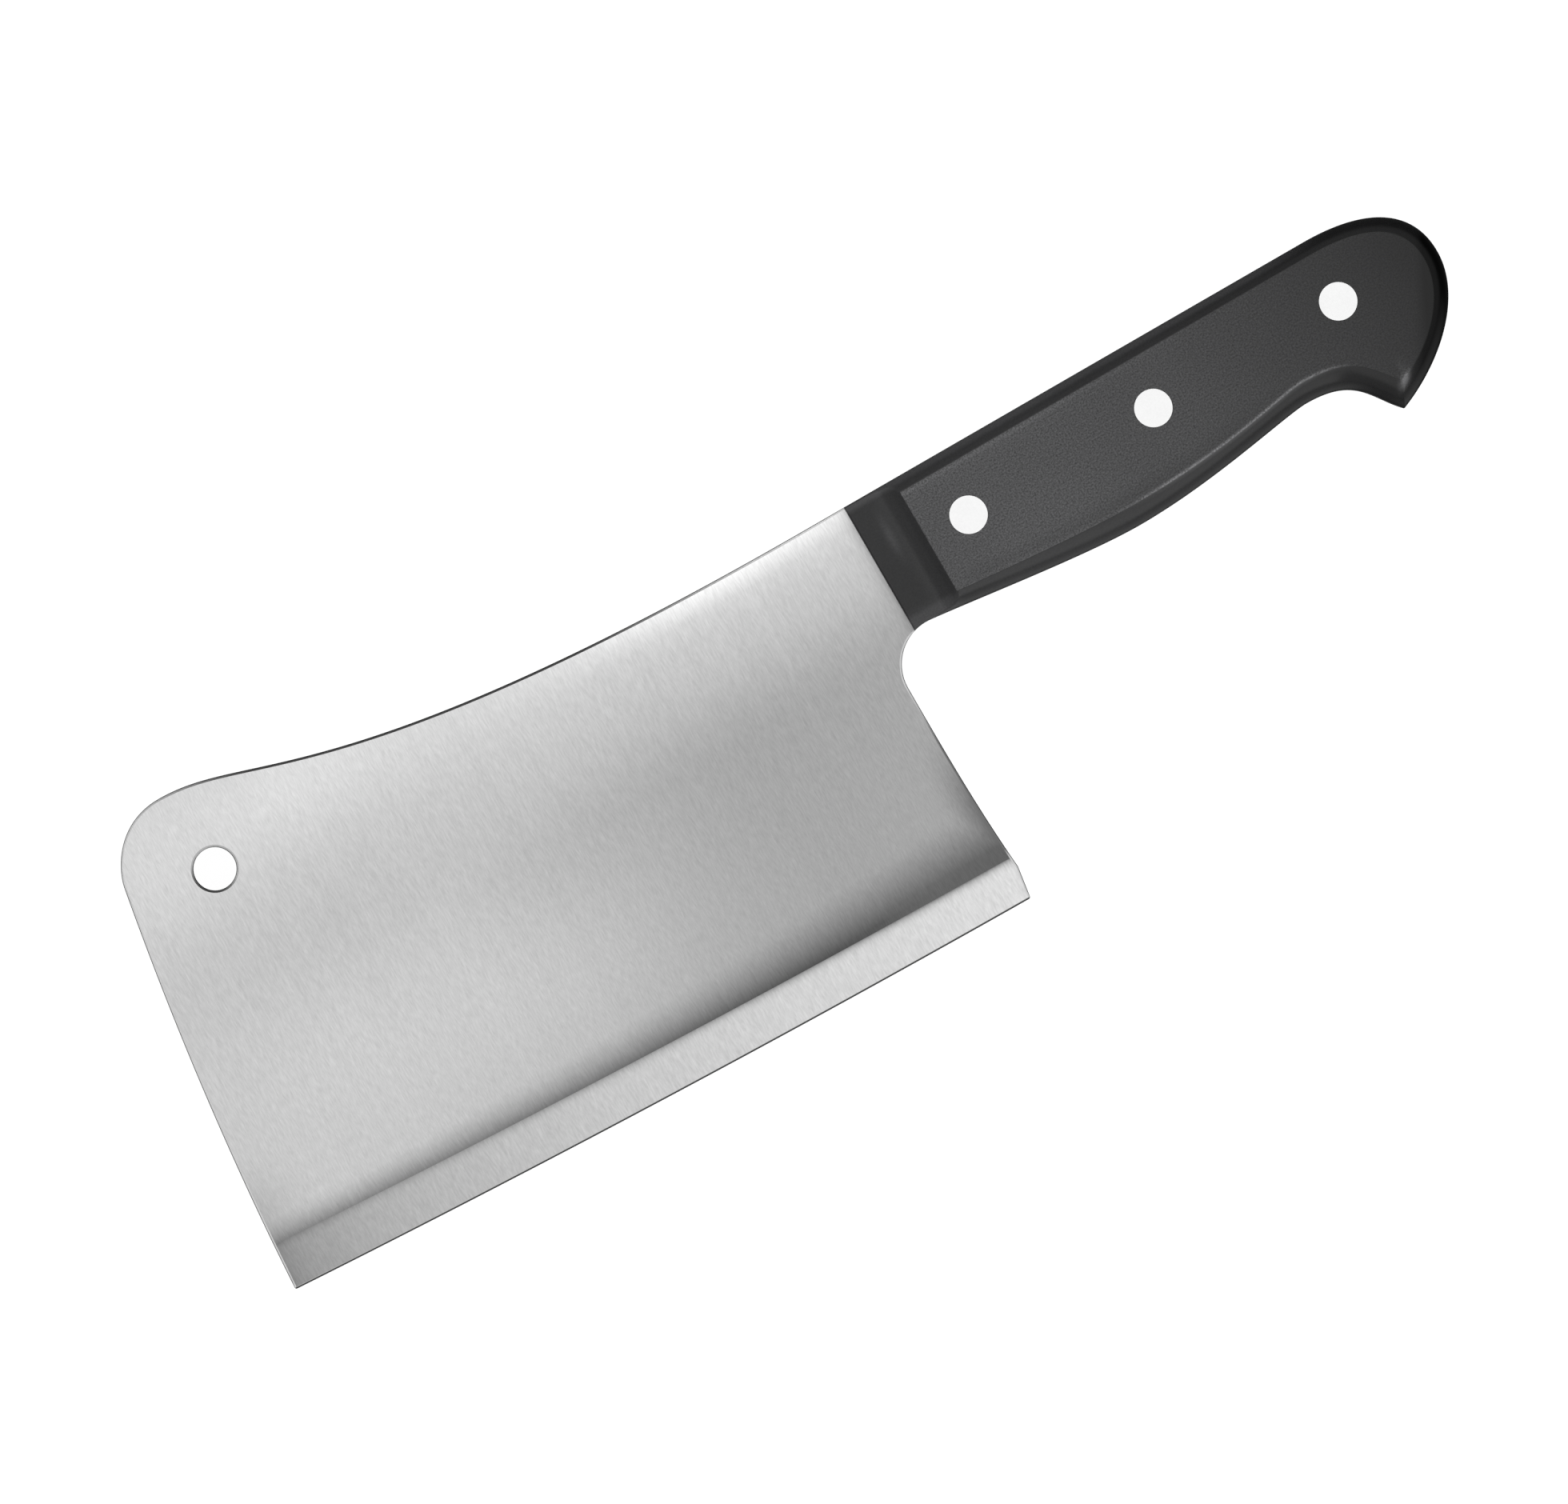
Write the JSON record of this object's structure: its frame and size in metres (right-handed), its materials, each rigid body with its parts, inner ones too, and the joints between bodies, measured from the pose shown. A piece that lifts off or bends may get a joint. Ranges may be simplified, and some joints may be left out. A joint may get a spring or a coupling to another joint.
{
  "type": "meat cleaver",
  "caption": "Meat cleaver with a broad ground blade, a hanging hole in the raised nose, a full tang and riveted plastic handle scales with a hooked butt.",
  "frame": {"origin": "under the middle of the cleaver's box, on the plane that the right-hand scale's flat lies on", "axes": "+X from the blade to the butt of the handle, +Y towards the spine, +Z out of the left side of the blade"},
  "size_m": [0.2786, 0.0966, 0.019],
  "materials": {
    "blade_steel": "satin, belt-ground across the blade",
    "handle_plastic": "matte moulded acetal, charcoal",
    "rivet_metal": "sanded flush and polished"
  },
  "bodies": {
    "root": {"blade": "blade_steel", "left_scale": "handle_plastic", "right_scale": "handle_plastic", "front_rivet_post": "rivet_metal", "front_rivet_cap": "rivet_metal", "middle_rivet_post": "rivet_metal", "middle_rivet_cap": "rivet_metal", "rear_rivet_post": "rivet_metal", "rear_rivet_cap": "rivet_metal"}
  },
  "joints": []
}
